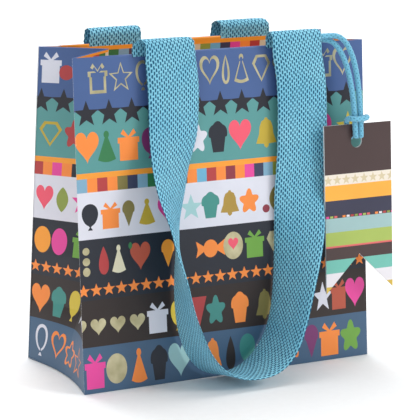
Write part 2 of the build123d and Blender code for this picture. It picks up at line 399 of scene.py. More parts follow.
# %% [markdown]
# The printer's inks, and the layout of the print. The wrap repeats every 200 mm round the bag, which is one
# wide wall and one gusset, so one drawing from 130 mm left of the front wall's middle to 70 mm right of it
# serves all four sides.

# %% Inks and layout
INKS = {
    "royal_blue": "#435f93", "teal": "#579896", "orange": "#fa8d3a", "amber": "#f99f31",
    "lilac_white": "#dedee8", "midnight": "#191e2b", "dark_brown": "#281b18", "steel_blue": "#41607e",
    "black": "#171925", "magenta": "#e8459c", "coral": "#f2586f", "mustard": "#c2a733",
    "green": "#2f7a48", "leaf_green": "#6fa541", "purple": "#7c316d", "olive": "#83783f",
    "bronze": "#b08f3c", "sea_green": "#3f8f86", "aqua": "#a4cfd0", "brick": "#b73b3c", "rust": "#b9523a",
    "yellow": "#d8bf3f", "sky": "#6cb0cf", "grey_blue": "#7fabc4", "navy": "#343a58",
    "olive_green": "#8f9e45", "lake_blue": "#3c7ea8", "cream": "#ebe5c6", "maroon": "#8c2f3f",
    "beige": "#d9cdb0", "plum": "#4a4159", "lime": "#a9bd5c", "tag_brown": "#453231",
    "tag_navy": "#33334a", "tag_cream": "#efe4d4", "tag_orange": "#fbb040", "tag_aqua": "#9fc0c0",
    "tag_teal": "#72bfb0", "tag_coral": "#e06666", "tag_white": "#e9e5ea", "tag_gold": "#d9b84a",
    "stone": "#d9c9a4",
}
BANDS = [(0.0, "steel_blue"), (20.0, "dark_brown"), (40.0, "midnight"), (65.8, "lilac_white"),
         (85.6, "orange"), (91.4, "amber"), (93.7, "teal"), (119.4, "royal_blue"), (142.65, "amber")]
HEM_BARS = (145.9, 152.5)
HEM_END = 180.0
HEM_START = -77.5
BAR_ROW = (85.6, 91.4)
PRINT_LEFT = -130.0
PRINT_RIGHT = 70.0
FOIL = "foil"


def bar_row(low, high, inks, start, pitch):
    """Upright bars side by side from start, one pitch wide each. Past the right end they go on at the left
    one."""
    middle = (low + high) / 2
    repeat = PRINT_RIGHT - PRINT_LEFT
    places = [start + (i + 0.5) * pitch for i in range(len(inks))]
    places = [along - repeat if along > PRINT_RIGHT + pitch / 2 else along for along in places]
    return [(ink, place_shape(box(), (along, middle), (pitch, high - low)))
            for ink, along in zip(inks, places)]


def bands(hem_bars=HEM_BARS):
    """The bands of ground colour, bottom to top, and the bars printed on two of them."""
    tops = [low for low, _ in BANDS[1:]] + [HEM_END]
    middle = (PRINT_LEFT + PRINT_RIGHT) / 2
    wide = PRINT_RIGHT - PRINT_LEFT + 2
    art = [(ink, place_shape(box(), (middle, (low + top) / 2), (wide, top - low)))
           for (low, ink), top in zip(BANDS, tops)]
    low, high = BAR_ROW
    gusset = ("brick orange magenta orange midnight grey_blue orange green orange rust grey_blue navy "
              "orange").split()
    front = ("grey_blue orange brick orange olive navy grey_blue green orange rust midnight orange sky "
             "brick orange maroon orange magenta navy grey_blue olive_green orange dark_brown "
             "lake_blue yellow orange rust sky orange navy").split()
    art += bar_row(low, high, gusset, -130.0, 60.0 / len(gusset))
    art += bar_row(low, high, front, -70.0, 140.0 / len(front))
    hem = ("orange rust sky navy yellow orange mustard beige brick orange magenta navy sky "
           "olive_green beige rust orange teal midnight orange plum grey_blue green beige maroon "
           "orange brick sky mustard navy magenta orange olive grey_blue plum beige green brick "
           "orange sky").split()
    low, high = hem_bars
    art += bar_row(low, high, hem, HEM_START, (PRINT_RIGHT - PRINT_LEFT) / len(hem))
    return art


print(len(bands()), "bands and bars")

# %% [markdown]
# The rows of shapes, each as its ink, shape, place along the print and width. The foil shapes in the top
# row and a few on the gusset are outlines: the shape in foil or ink, and the same shape a little smaller in
# the ground colour.

# %% Rows of party shapes
ROWS = [
    (104.3, 13.2, [
        ("brick", flower, -111.5, 9), ("mustard", star, -102, 10), ("purple", flower, -82, 9),
        ("cream", balloon, -74, 8), ("orange", heart, -64.8, 11), ("green", party_hat, -55.8, 10.5),
        ("orange", gift, -45.6, 10), ("purple", balloon, -35.5, 9.5), ("cream", star, -25, 11.5),
        ("lilac_white", flower, -13.2, 10), ("midnight", cupcake, -3.2, 10), ("coral", heart, 7.6, 11),
        ("mustard", bell, 20.5, 10.5), ("sea_green", gift, 31, 9), ("lilac_white", party_hat, 40, 9),
        ("magenta", balloon, 49.5, 9.5), ("yellow", star, 62, 12)]),
    (75.2, 11.2, [
        ("coral", heart, -124, 9), ("olive_green", leaf, -115, 8), ("magenta", star, -105.5, 10),
        ("midnight", gift, -95, 8), ("orange", flower, -85, 9), ("brick", drop, -76, 7),
        ("midnight", balloon, -64.5, 9), ("orange", gift, -55, 9), ("olive", ice_cream, -46.6, 8),
        ("mustard", party_hat, -38, 9.5), ("magenta", heart, -28.5, 9), ("aqua", star, -17.2, 11),
        ("sea_green", cupcake, -7.8, 9.5), ("bronze", bell, 1.6, 9.5), ("orange", flower, 11.2, 10),
        ("olive", leaf, 24.2, 8), ("magenta", gift, 34, 9), ("sea_green", balloon, 44, 8),
        ("orange", star, 53, 10), ("midnight", heart, 63, 10)]),
    (56.4, 12.0, [
        ("amber", disc, -124, 9), ("magenta", disc, -115, 8), ("leaf_green", gift, -104, 9),
        ("cream", bell, -94, 8), ("rust", star, -85, 9), ("amber", drop, -76, 6),
        ("brick", drop, -58.8, 6), ("cream", party_hat, -51.8, 8), ("rust", heart, -41.6, 9.5),
        ("amber", ice_cream, -28.6, 8.5), ("orange", sweet, -8.2, 14), ("leaf_green", gift, 13.4, 9.5),
        ("rust", flower, 32, 10), ("cream", balloon, 43, 8), ("amber", star, 53, 10),
        ("leaf_green", leaf, 63, 7)]),
    (29.2, 13.4, [
        ("orange", heart, -124, 10), ("sea_green", cupcake, -114, 9), ("yellow", balloon, -104.5, 8),
        ("lilac_white", star, -94, 10), ("coral", gift, -84, 8), ("lilac_white", gift, -34.4, 10),
        ("yellow", balloon, -24.8, 8), ("brick", pennant, -14.6, 8), ("sea_green", flower, -6.6, 9.6),
        ("orange", cupcake, 5.2, 9.4), ("olive", bell, 17.4, 9), ("aqua", heart, 28, 10),
        ("coral", drop, 38.6, 7.5), ("lilac_white", star, 47.2, 10), ("rust", gift, 55.6, 8.4),
        ("magenta", heart, 64, 10)]),
    (9.6, 15.0, [
        ("magenta", gift, -64.6, 9.6), ("orange", party_hat, -44, 9.4), ("midnight", cupcake, -34.4, 9),
        ("aqua", heart, -24.2, 11.5), ("orange", bell, -8.6, 9), ("dark_brown", drop, 0.2, 6),
        ("sea_green", balloon, 8.4, 9), ("cream", star, 18, 10), ("orange", flower, 31, 10),
        ("purple", ice_cream, 41, 10), ("orange", gift, 50.4, 10.6), ("leaf_green", flower, 61.4, 11)]),
]
FOIL_ROW = (132.9, 12.6, [
    (star, -108, 11), (balloon, -98, 8), (gift, -88, 9), (leaf, -78, 8), (gift, -58.8, 9),
    (star, -48.2, 11), (balloon, -38, 8), (heart, -27, 11), (bell, -16, 9), (heart, -6.4, 9.6),
    (drop, 1.4, 5), (party_hat, 9, 9), (gem, 18.8, 9), (flower, 29, 10), (star, 40, 11), (gift, 50, 9),
    (heart, 59.6, 10)])
FOIL_LINE = 1.35
GUSSET_OUTLINES = [("lilac_white", balloon, "steel_blue", -121.5, 10.5, 9.5, 14.5),
                   ("orange", heart, "steel_blue", -109.5, 10.5, 11, 12),
                   ("orange", flower, "steel_blue", -98, 9.5, 11, 12),
                   ("orange", star, "steel_blue", -86, 9.5, 13, 13),
                   ("mustard", gem, "teal", -122.5, 104.3, 11, 12),
                   ("mustard", heart, "teal", -92, 104.3, 11, 12)]
GUSSET_LINE = 1.5
FOIL_HEARTS = (28.3, [-71.5, -62.4, -53.3, -44.0], 7.2)
FOIL_SINGLES = [(disc, 2.8, 56.6, 9.6, 12.0), (disc, -54.6, 9.6, 9.8, 13.0), (gem, 23.2, 56.4, 7.5, 11.0),
                (disc, -66.9, 60.9, 3.2, 3.2), (disc, -66.9, 56.5, 3.4, 3.4),
                (disc, -66.9, 52.2, 3.4, 3.8)]
STAR_ROWS = [("black", 118.6, -127.6, 10.5, 10.9), ("orange", 44.2, -127.4, 5.88, 5.6)]


def outlined(ink, line, shape, ground, along, up, wide, high):
    """A shape with its own smaller copy in the ground colour on it, which leaves a line of ink or foil."""
    inner = (wide - 2 * line, high - 2 * line)
    return [(ink, place_shape(shape(), (along, up), (wide, high))),
            (ground, place_shape(shape(), (along, up), inner))]


def rows():
    """Every shape of every row, in the order that the inks go down."""
    art = []
    for ink, up, start, pitch, size in STAR_ROWS:
        count = int((PRINT_RIGHT + 10 - start) / pitch)
        art += [(ink, place_shape(star(), (start + i * pitch, up), (size, size))) for i in range(count)]
    for up, high, shapes in ROWS:
        art += [(ink, place_shape(shape(), (along, up), (wide, high)))
                for ink, shape, along, wide in shapes]
    up, high, shapes = FOIL_ROW
    for shape, along, wide in shapes:
        art += outlined(FOIL, FOIL_LINE, shape, "royal_blue", along, up, wide, high)
    for ink, shape, ground, along, up, wide, high in GUSSET_OUTLINES:
        art += outlined(ink, GUSSET_LINE, shape, ground, along, up, wide, high)
    up, places, size = FOIL_HEARTS
    art += [(FOIL, place_shape(heart(), (along, up), (size, size))) for along in places]
    art += [(FOIL, place_shape(shape(), (along, up), (wide, high)))
            for shape, along, up, wide, high in FOIL_SINGLES]
    art.append(("lilac_white", place_shape(gift(), (-123.6, 133.0), (9.8, 13.5))))
    art.append(("brick", place_shape(disc(), (-116.4, 131.0), (6.5, 6.5))))
    art.append(("coral", place_shape(heart(), (2.8, 57.2), (5.0, 5.4))))
    art.append(("maroon", place_shape(disc(), (19.6, 71.2), (3.6, 3.6))))
    art.append(("green", place_shape(leaf(), (-46.2, 61.4), (2.6, 3.2))))
    return art


print(len(rows()), "printed shapes")

# %% [markdown]
# A wall is one sheet: printed outside, turned in over the top edge so that its printed side shows inside
# the mouth, and white on the back. Cloth-like tools would be too soft for it, so the sheet is cut flat and
# folded by formula. The outline and every printed shape are closed lines in one flat drawing; a constrained
# triangulation keeps all the lines as edges. Each triangle takes the ink of the last shape that covers it,
# and a place function folds the flat points into the room.

# %% Cutting and folding a printed sheet
WHITE_SLOT = 1
FOIL_SLOT = 2


def counter_clockwise(outline):
    """The same outline, reversed if its signed area (half the sum of cross products) is negative."""
    following = np.roll(outline, -1, axis=0)
    area = np.sum(outline[:, 0] * following[:, 1] - outline[:, 1] * following[:, 0])
    return outline if area > 0 else outline[::-1]


def divide(outline, longest):
    """The same closed outline with extra points, so that no side is longer than the spacing of the grid."""
    pieces = []
    for start, end in zip(outline, np.roll(outline, -1, axis=0)):
        parts = max(1, int(np.ceil(np.linalg.norm(end - start) / longest)))
        pieces.append(start + (end - start) * np.arange(parts)[:, None] / parts)
    return np.concatenate(pieces)


def cut_sheet(outline, cutouts, art, creases, spacing):
    """Triangles of a flat printed sheet: points (n, 2), triangles (m, 3) and the ink of each triangle.

    The first outline is the blank, then come the cut-outs, then the art, and a triangle's highest outline
    number is its ink. Triangles outside the blank or inside a cut-out are dropped."""
    drawn = [outline, *cutouts, *[shape for _, shape in art]]
    outlines = [divide(counter_clockwise(np.asarray(shape, float)), spacing) for shape in drawn]
    starts = np.cumsum([0] + [len(shape) for shape in outlines])
    faces = [list(range(a, b)) for a, b in zip(starts[:-1], starts[1:])]
    low = outlines[0].min(axis=0) + spacing / 2
    high = outlines[0].max(axis=0) - spacing / 2
    grid = np.stack(np.meshgrid(np.arange(low[0], high[0], spacing), np.arange(low[1], high[1], spacing)),
                    axis=-1)
    crease_points = np.array(creases, float).reshape(-1, 2)
    points = np.vstack([*outlines, crease_points, grid.reshape(-1, 2)])
    first = starts[-1]
    edges = [(first + 2 * i, first + 2 * i + 1) for i in range(len(crease_points) // 2)]
    made = delaunay_2d_cdt([Vector(p) for p in points.tolist()], edges, faces, 0, 1e-5, True)
    flat = np.array([(v.x, v.y) for v in made[0]])
    owners = made[5]
    keep = [i for i, own in enumerate(owners) if 0 in own and not any(0 < o <= len(cutouts) for o in own)]
    triangles = np.array([made[2][i] for i in keep])
    names = ["none"] * (1 + len(cutouts)) + [ink for ink, _ in art]
    inks = [names[max(owners[i])] for i in keep]
    used, triangles = np.unique(triangles, return_inverse=True)
    return flat[used], triangles.reshape(-1, 3), inks


def sheet_normals(place, flat):
    """Unit normals of a folded sheet: the cross product of its slopes across and up, from small steps both
    ways."""
    step = 0.05
    across = place(flat[:, 0] + step, flat[:, 1]) - place(flat[:, 0] - step, flat[:, 1])
    upward = place(flat[:, 0], flat[:, 1] + step) - place(flat[:, 0], flat[:, 1] - step)
    normals = np.cross(across, upward)
    return normals / np.linalg.norm(normals, axis=1, keepdims=True)


def mesh_from(name, points, faces):
    """A new object at the origin from points (n, 3) in metres and a list or array of faces."""
    mesh = bpy.data.meshes.new(name)
    mesh.from_pydata(points.tolist(), [], faces.tolist() if isinstance(faces, np.ndarray) else faces)
    mesh.update()
    piece = bpy.data.objects.new(name, mesh)
    bpy.context.collection.objects.link(piece)
    return piece


def folded_sheet(name, flat, triangles, inks, place, thickness, cut_edges=False):
    """Folds a cut sheet into the room and gives it thickness: the printed skin where place puts it, a white
    skin pushed back by the thickness along the normals, and a strip of faces round every free edge. On a
    folded sheet the strips carry the ink round the fold; on cut card they show the white core."""
    skin = place(flat[:, 0], flat[:, 1])
    normals = sheet_normals(place, flat)
    count = len(flat)
    edges = np.concatenate([triangles[:, [0, 1]], triangles[:, [1, 2]], triangles[:, [2, 0]]])
    keys = np.sort(edges, axis=1)
    _, index, uses = np.unique(keys, axis=0, return_index=True, return_counts=True)
    rim = edges[index[uses == 1]]
    strip = np.column_stack([rim[:, 1], rim[:, 0], rim[:, 0] + count, rim[:, 1] + count])
    faces = [*triangles.tolist(), *(triangles[:, ::-1] + count).tolist(), *strip.tolist()]
    piece = mesh_from(name, np.concatenate([skin, skin - normals * thickness * MM]), faces)
    mesh = piece.data
    sides = len(triangles)
    slots = np.full(len(faces), WHITE_SLOT)
    slots[:sides] = [FOIL_SLOT if ink == FOIL else 0 for ink in inks]
    rim_inks = [inks[i % sides] for i in index[uses == 1]]
    if not cut_edges:
        slots[2 * sides:] = 0
    mesh.polygons.foreach_set("material_index", slots.astype(np.int32))
    mesh.polygons.foreach_set("use_smooth", np.ones(len(faces), bool))
    colours = np.ones((len(mesh.loops), 4), np.float32)
    palette = {ink: linear(INKS[ink]) for ink in set(inks) if ink in INKS}
    white = linear(PAPER_WHITE)
    colours[:3 * sides] = np.repeat(np.array([palette.get(ink, white) for ink in inks]), 3, axis=0)
    colours[6 * sides:] = np.repeat(np.array([palette.get(ink, white) for ink in rim_inks]), 4, axis=0)
    layer = mesh.color_attributes.new("ink", "FLOAT_COLOR", "CORNER")
    layer.data.foreach_set("color", colours.ravel())
    vertex = np.zeros(len(mesh.loops), np.int32)
    mesh.loops.foreach_get("vertex_index", vertex)
    corner_normals = np.where((vertex < count)[:, None], normals[vertex % count], -normals[vertex % count])
    quads = np.concatenate([skin, skin - normals * thickness * MM])[strip]
    outward = np.cross(quads[:, 1] - quads[:, 0], quads[:, 3] - quads[:, 0])
    outward /= np.linalg.norm(outward, axis=1, keepdims=True) + 1e-12
    corner_normals[6 * sides:] = np.repeat(outward, 4, axis=0)
    mesh.normals_split_custom_set(corner_normals.tolist())
    both = np.concatenate([flat, flat])
    uv = mesh.uv_layers.new(name="blank")
    uv.data.foreach_set("uv", (both[vertex] / BLANK_UNIT + 0.5).ravel().astype(np.float32))
    for material in (art_paper, white_board, gold_foil):
        mesh.materials.append(material)
    return piece


def over_the_top(along_sheet, top, radius):
    """Height and inward shift of a sheet that folds over its top: straight up, half round a small circle,
    and straight down behind itself."""
    turn = np.clip((along_sheet - (top - radius)) / radius, 0, math.pi)
    after = np.maximum(along_sheet - (top - radius) - math.pi * radius, 0)
    up = np.minimum(along_sheet, top - radius) + radius * np.sin(turn) - after
    return up, radius - radius * np.cos(turn)


print("sheets are", PAPER, "mm thick")

# %% [markdown]
# The two wide walls. Each blank has a hem that is a little narrower than the wall, so that the gussets can
# fold flat beside it, and two slots where the tapes come up out of the hem. A real sheet is never quite
# flat, so the wall gets slow waves of a third of a millimetre that fade out where the hem board stiffens
# it.

# %% The wide walls
HEM_HALF = 60.0
HEM_DEEP = 35.0
HEM_ROUND = 0.7
LEG_CENTRES = (-30.0, 34.0)
LEG_SLOT = 25.2
FOOT = 0.1
WAVE = 0.32
# Radians per millimetre along the wall and up it.
LONG_WAVE = (0.055, 0.021)
CROSS_WAVE = (0.02, 0.075)
CROSS_SHARE = 0.6
REAR_PHASE = 1.7
FOOT_EASE = 12.0
HEM_EASE = 18.0
HEM_MARGIN = 4.0
WALL_GRID = 4.0
CORNER_GAP = 0.15
SLOT_MARGIN = 0.6
FOLD_LENGTH = WALL_HEIGHT - HEM_ROUND + math.pi * HEM_ROUND


def stiff_below_hem(up):
    """1 in the loose part of a sheet, easing to 0 at its foot and where the hem begins."""
    rise = np.clip(up / FOOT_EASE, 0, 1)
    fall = np.clip((WALL_HEIGHT - HEM_DEEP - HEM_MARGIN - up) / HEM_EASE, 0, 1)
    return rise * rise * (3 - 2 * rise) * fall * fall * (3 - 2 * fall)


def wall_place(wall):
    """Where a point of the flat wall goes: folded over the top where the hem is, and out or in by two
    crossed slow waves."""
    phase = 0.0 if wall == "front" else REAR_PHASE

    def place(along, along_sheet):
        up, inward = over_the_top(along_sheet, WALL_HEIGHT, HEM_ROUND)
        beside_hem = np.abs(along) > HEM_HALF + 0.01
        up, inward = np.where(beside_hem, along_sheet, up), np.where(beside_hem, 0.0, inward)
        side = 1 - (along / (WIDTH / 2)) ** 4
        long = np.sin(along * LONG_WAVE[0] + phase + up * LONG_WAVE[1])
        cross = np.sin(up * CROSS_WAVE[1] - along * CROSS_WAVE[0] + phase)
        wave = long + CROSS_SHARE * cross
        out = -inward + WAVE * wave * np.clip(side, 0, 1) * stiff_below_hem(up)
        return on_wall(wall, along, up, out)

    return place


def wall_blank():
    """The wall's outline on the flat sheet: a rectangle with the narrower hem on top."""
    top = FOLD_LENGTH + HEM_DEEP - HEM_ROUND
    half = WIDTH / 2
    edge = WALL_HEIGHT - CORNER_GAP
    return [(-half, FOOT), (half, FOOT), (half, edge), (HEM_HALF, edge), (HEM_HALF, top), (-HEM_HALF, top),
            (-HEM_HALF, edge), (-half, edge)]


def hem_slots():
    """A slot through the folded edge for each tape."""
    low = WALL_HEIGHT - HEM_ROUND - SLOT_MARGIN
    high = FOLD_LENGTH + SLOT_MARGIN
    half = LEG_SLOT / 2
    return [[(leg - half, low), (leg + half, low), (leg + half, high), (leg - half, high)]
            for leg in LEG_CENTRES]


def make_wall(wall):
    """One wide wall with its print, hem, slots and worn edges."""
    fold_rows = np.linspace(WALL_HEIGHT - HEM_ROUND, FOLD_LENGTH, 7)
    creases = [[(-HEM_HALF, row), (HEM_HALF, row)] for row in fold_rows]
    cut = cut_sheet(wall_blank(), hem_slots(), bands() + rows(), creases, WALL_GRID)
    piece = folded_sheet(wall + "_wall_print", *cut, wall_place(wall), PAPER)
    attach(piece, wall + "_wall")
    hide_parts(wall + "_panel")
    print(piece.name, "has", len(piece.data.polygons), "faces")
    return piece


walls = [make_wall(wall) for wall in ("front", "rear")]

# %% [markdown]
# The gussets let the bag fold flat. Each is two strips that meet in a crease pulled in between the walls.
# The strips stay full width, so where the walls lean together the crease has to move in: its depth is the
# side of a right triangle whose long side is the strip and whose other side is half the bag's depth there.
# Near the foot the sheet is glued to the square base, so the crease fades out to nothing, with a cross fold
# above it.

# %% The gussets
STRIP = 30.0
FOOT_PEAK = 27.5
GUSSET_FOLD_ROUND = 0.28
GUSSET_HEM = 30.0
GUSSET_HEM_BARS = (143.7, 152.5)
GUSSET_BOW = 0.9
FOOT_PULL = 3.9
SOFT_FOOT = 42.0
CREASE_OVERLAP = 0.003
CREASE_X = -100.0
CREASE_WIDTH = 0.03
# Heights in millimetres: soft below FLAT_FOOT, pulled in below PULL_HEIGHT, and the whole arch above
# BOW_HEIGHT.
FLAT_FOOT = 8.0
PULL_HEIGHT = 26.0
BOW_HEIGHT = 30.0
EASE = 1.5
BOW_SIDEWAYS = 0.7
BOW_FORWARD = 0.5
GUSSET_LIFT = 0.4
GUSSET_GRID = 2.5


def gusset_place(side, wall):
    """Where a point of a gusset strip goes. Half the bag's depth and the crease's depth are worked out at
    its height, the strip runs straight between the wall's edge and the crease, and a shallow arch is added
    across it. Towards the foot the straight V gives way to a quarter sine, and the strip is drawn further
    into the bag."""
    sideways = -1.0 if side == "left" else 1.0
    wall_x = CREASE_X + STRIP * (1 if (side == "left") == (wall == "front") else -1)
    forward = -1.0 if wall == "front" else 1.0

    def place(along, along_sheet):
        up, inward = over_the_top(along_sheet, WALL_HEIGHT, GUSSET_FOLD_ROUND)
        height = up * math.cos(LEAN)
        half_depth = DEPTH / 2 - up * math.sin(LEAN)
        peak_half = DEPTH / 2 - FOOT_PEAK * math.tan(LEAN)
        peak = math.sqrt(STRIP ** 2 - peak_half ** 2)
        deep = np.sqrt(np.maximum(STRIP ** 2 - half_depth ** 2, 0))
        crease = np.where(height < FOOT_PEAK, peak * np.clip(height / FOOT_PEAK, 0, 1), deep)
        share = np.abs(along - wall_x) / STRIP
        soft = share + CREASE_OVERLAP * np.exp(-((1 - share) / CREASE_WIDTH) ** 2)
        sharp = np.clip((height - FLAT_FOOT) / SOFT_FOOT, 0, 1) ** EASE
        bowl = np.sin(math.pi / 2 * np.clip(share, 0, 1.05))
        hollow = sharp * soft + (1 - sharp) * bowl
        arch = GUSSET_BOW * np.sin(math.pi * np.clip(share, 0, 1)) * np.clip(height / BOW_HEIGHT, 0, 1)
        pull = FOOT_PULL * bowl * np.clip(1 - height / PULL_HEIGHT, 0, 1) ** EASE
        depth_in = crease * hollow + inward + pull - arch * BOW_SIDEWAYS
        x = sideways * (WIDTH / 2 - depth_in)
        y = forward * (half_depth * (1 - soft) + arch * BOW_FORWARD)
        return np.stack(np.broadcast_arrays(x, y, height), axis=-1) * MM

    return place


def gusset_blank(low, high):
    """A strip with its turned-in hem, cut just above the floor."""
    top = WALL_HEIGHT + GUSSET_HEM
    return [(low, GUSSET_LIFT), (high, GUSSET_LIFT), (high, top), (low, top)]


def make_gusset(side, wall):
    """Half of one gusset, with its print and turned-in hem."""
    inner_half = (side == "left") == (wall == "front")
    low, high = (CREASE_X, CREASE_X + STRIP) if inner_half else (CREASE_X - STRIP, CREASE_X)
    fold_rows = np.linspace(WALL_HEIGHT - GUSSET_FOLD_ROUND, WALL_HEIGHT + 0.6, 5)
    creases = [[(low, row), (high, row)] for row in [*fold_rows, FOOT_PEAK]]
    cut = cut_sheet(gusset_blank(low, high), [], bands(GUSSET_HEM_BARS) + rows(), creases, GUSSET_GRID)
    piece = folded_sheet(f"{side}_gusset_{wall}_print", *cut, gusset_place(side, wall), PAPER)
    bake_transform(piece)
    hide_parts(f"{side}_gusset_{wall}")
    print(piece.name, "has", len(piece.data.polygons), "faces")
    return piece


gussets = [make_gusset(side, wall) for side in ("left", "right") for wall in ("front", "rear")]

# %% [markdown]
# The handles are flat knitted tape: soft-spun polyester yarn knitted into a narrow tube and pressed flat.
# Up close it is a net of slanting yarns round small gaps, staggered like the holes of a trellis. The
# relief of the stitches is modelled in the mesh; the finer strands and the gaps are drawn by the material
# from the tape's own coordinates, so that the knit follows every turn of the tape. The gaps are filled with
# painted shade, and the yarn beside them is darkened with painted shade too.

# %% Knitted tape material
TAPE_WIDTH = 24.5
WALE = 2.07
COURSE = 2.37
SKEW = 0.16
UV_TAPE = 0.01
BACK_OFFSET = 0.5


def knit_waves(tree, coordinate, wavelength, phase=0.0):
    """A cosine of one coordinate, one full wave per wavelength (both in mm)."""
    turns = add(tree, "Math", {0: coordinate, 1: 2 * math.pi / wavelength, 2: phase},
                operation="MULTIPLY_ADD")
    return add(tree, "Math", {0: turns.outputs[0]}, operation="COSINE").outputs[0]


def tape_coordinates(tree, place, from_tape):
    """How far across and along the tape a point is, in mm, and whether it is on the rear face. They come
    from the tape's own UV map, or, on the flat glued ends, from the room."""
    if not from_tape:
        split = add(tree, "SeparateXYZ", {"Vector": place})
        return maths(tree, "DIVIDE", split.outputs[0], MM), maths(tree, "DIVIDE", split.outputs[2], MM), 0.0
    split = add(tree, "SeparateXYZ", {"Vector": add(tree, "UVMap", {}, uv_map="tape").outputs[0]})
    is_back = maths(tree, "GREATER_THAN", split.outputs[0], BACK_OFFSET)
    shift = maths(tree, "MULTIPLY", is_back, BACK_OFFSET)
    across = maths(tree, "DIVIDE", maths(tree, "SUBTRACT", split.outputs[0], shift), UV_TAPE)
    return across, maths(tree, "DIVIDE", split.outputs[1], UV_TAPE), is_back


def knitted_polyester(name, from_tape):
    """Soft polyester knit: tall narrow gaps where a cosine across and a cosine along are both high or both
    low, and slanting yarns of finer strands between them. The gaps are filled with dark teal as painted
    shade, less deep on the rear face, and the yarn sides next to them are darkened with painted shade.
    Matt, with a faint fibre sheen."""
    material, tree = new_material(name)
    place = add(tree, "TexCoord", {}).outputs["Object"]
    wobble = add(tree, "TexNoise", {"Vector": place, "Scale": 700.0, "Detail": 1.0})
    across_raw, along_raw, is_back = tape_coordinates(tree, place, from_tape)
    sway = add(tree, "MapRange", {"Value": wobble.outputs[0], "To Min": -0.35, "To Max": 0.35}).outputs[0]
    across = maths(tree, "ADD", across_raw, sway)
    along = add(tree, "Math", {0: across_raw, 1: SKEW, 2: along_raw}, operation="MULTIPLY_ADD").outputs[0]
    wave_across = knit_waves(tree, across, WALE)
    wave_along = knit_waves(tree, along, COURSE)
    slits = []
    for sign in (1.0, -1.0):
        narrow = add(tree, "MapRange", {"Value": maths(tree, "MULTIPLY", wave_across, sign),
                                        "From Min": 0.35, "From Max": 1.0}).outputs[0]
        tall = add(tree, "MapRange", {"Value": maths(tree, "MULTIPLY", wave_along, sign),
                                      "From Min": -0.7, "From Max": 0.1}).outputs[0]
        slits.append(maths(tree, "MULTIPLY", narrow, tall))
    gap = maths(tree, "MAXIMUM", slits[0], slits[1])
    bend = maths(tree, "ABSOLUTE", knit_waves(tree, across, WALE * 2))
    slant = add(tree, "Math", {0: bend, 1: 2.6, 2: along}, operation="MULTIPLY_ADD").outputs[0]
    strands = knit_waves(tree, slant, COURSE / 3)
    fuzz = add(tree, "TexNoise", {"Vector": place, "Scale": 4200.0, "Detail": 3.0, "Roughness": 0.8})
    mottle = add(tree, "TexNoise", {"Vector": place, "Scale": 60.0, "Detail": 2.0})
    bright = add(tree, "MapRange", {"Value": mottle.outputs[0], "From Min": 0.3,
                                    "From Max": 0.7}).outputs[0]
    ground = mix_colour(tree, bright, linear("#86d0e8"), linear("#9fe2f3"))
    strand = add(tree, "MapRange", {"Value": strands, "From Min": -1.0, "To Min": 0.0,
                                    "To Max": 0.5}).outputs[0]
    shaded = mix_colour(tree, strand, ground, linear("#4fa3c6"))
    worn = add(tree, "MapRange", {"Value": fuzz.outputs[0], "From Min": 0.5, "From Max": 0.75,
                                  "To Max": 0.4}).outputs[0]
    fluffy = mix_colour(tree, worn, shaded, linear("#c4ecf5"))
    # painted shade: the yarn sides next to each gap are darkened towards a deeper blue
    flank_shade = maths(tree, "MULTIPLY", add(tree, "MapRange", {"Value": gap, "From Max": 0.4}).outputs[0], 0.75)
    with_flank_shade = mix_colour(tree, flank_shade, fluffy, linear("#3d98bd"))
    # painted shade: the gaps are filled with dark teal, a little less deep on the rear face
    hole = add(tree, "MapRange", {"Value": gap, "From Min": 0.3, "From Max": 0.62}).outputs[0]
    hole_shade_share = maths(tree, "MULTIPLY", hole, add(tree, "MapRange", {"Value": is_back, "To Min": 0.95,
                                                                      "To Max": 0.6}).outputs[0])
    colour = mix_colour(tree, hole_shade_share, with_flank_shade, linear("#0d5478"))
    height = maths(tree, "SUBTRACT", maths(tree, "MULTIPLY", strands, 0.1), gap)
    deep = maths(tree, "ADD", height, maths(tree, "MULTIPLY", fuzz.outputs[0], 0.3))
    bump = add(tree, "Bump", {"Height": deep, "Distance": 0.0003, "Strength": 0.8})
    surface = add(tree, "BsdfPrincipled", {"Base Color": colour, "Roughness": 0.82, "IOR": 1.5,
                                           "Specular IOR Level": 0.25, "Sheen Weight": 0.12,
                                           "Sheen Roughness": 0.45, "Normal": bump.outputs[0]})
    close_material(tree, surface)
    return material


knit = knitted_polyester("knitted_polyester_tape", True)
glued_knit = knitted_polyester("knitted_polyester_glued_ends", False)
print("stitches are", WALE, "mm apart,", round(TAPE_WIDTH / WALE), "across the tape")

# %% [markdown]
# The loop hangs by its two legs. The left leg turns edge-on as it falls, so the bottom of the loop stands
# off the wall like a belt, and the right leg turns back flat against the wall. Its two edges are given at
# each station; the stations are joined by straight lines, sampled finely, and smoothed by averaging each
# sample with its neighbours under a bell curve, which is how a soft tape rounds every corner.

